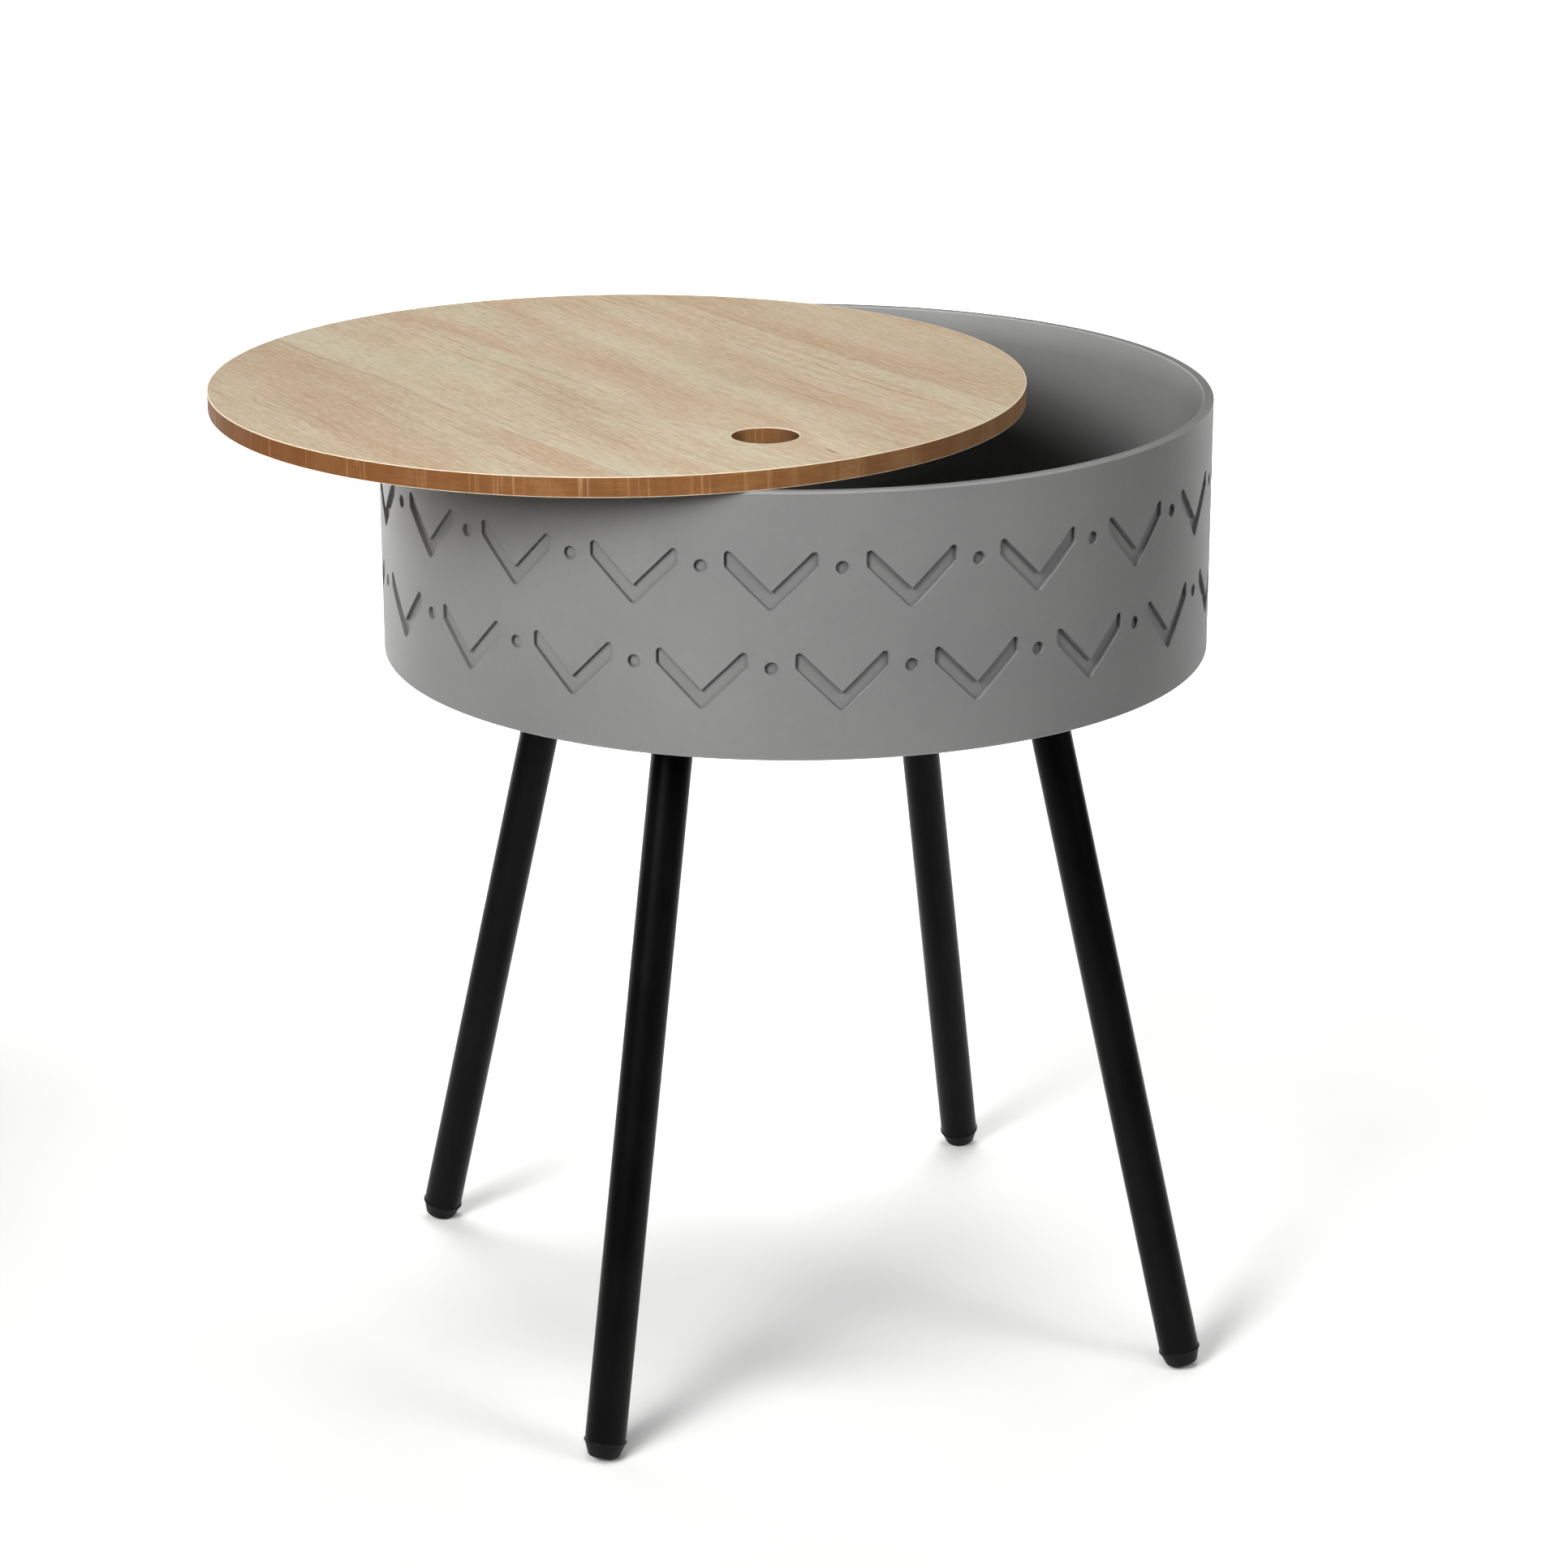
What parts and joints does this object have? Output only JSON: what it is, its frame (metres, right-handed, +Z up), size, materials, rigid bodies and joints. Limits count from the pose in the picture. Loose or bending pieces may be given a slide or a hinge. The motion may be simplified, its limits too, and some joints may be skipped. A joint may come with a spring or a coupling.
{
  "type": "storage side table",
  "caption": "Round storage side table: painted drum with routed chevrons, loose wood-effect lid with a finger hole, splayed tube legs with foot caps.",
  "frame": {"origin": "on the floor under the drum's axis", "axes": "+Z up, -Y to the front, the legs stand on the diagonals of X and Y"},
  "size_m": [0.4667, 0.3972, 0.469],
  "materials": {
    "grey_paint": "satin grey paint on wood board",
    "raw_fibreboard": "raw machined fibreboard",
    "oak_foil": "matt pale oak decor foil",
    "black_powder_coat": "satin black powder coat",
    "black_plastic": "fine moulded texture",
    "zinc_steel": "bright zinc plate"
  },
  "bodies": {
    "table": {"drum_wall": "grey_paint", "drum_base": "grey_paint", "lid_rest_right": "grey_paint", "lid_rest_back": "grey_paint", "lid_rest_left": "grey_paint", "leg_tube_front_left": "black_powder_coat", "leg_tube_front_right": "black_powder_coat", "leg_tube_back_right": "black_powder_coat", "leg_tube_back_left": "black_powder_coat", "foot_cap_front_left": "black_plastic", "foot_cap_front_right": "black_plastic", "foot_cap_back_right": "black_plastic", "foot_cap_back_left": "black_plastic", "leg_plate_front_left": "black_powder_coat", "leg_plate_front_right": "black_powder_coat", "leg_plate_back_right": "black_powder_coat", "leg_plate_back_left": "black_powder_coat", "leg_plug_front_left": "zinc_steel", "leg_plug_front_right": "zinc_steel", "leg_plug_back_right": "zinc_steel", "leg_plug_back_left": "zinc_steel", "leg_studs": "zinc_steel", "plate_screws": "zinc_steel"},
    "lid": {"lid_core": "raw_fibreboard", "lid_top_foil": "oak_foil", "lid_underside_foil": "oak_foil"}
  },
  "joints": [
    {"name": "lid_lift", "type": "slide", "parent": "table", "child": "lid", "axis": [0, 0, 1], "range_m": [0, 0.25]}
  ]
}
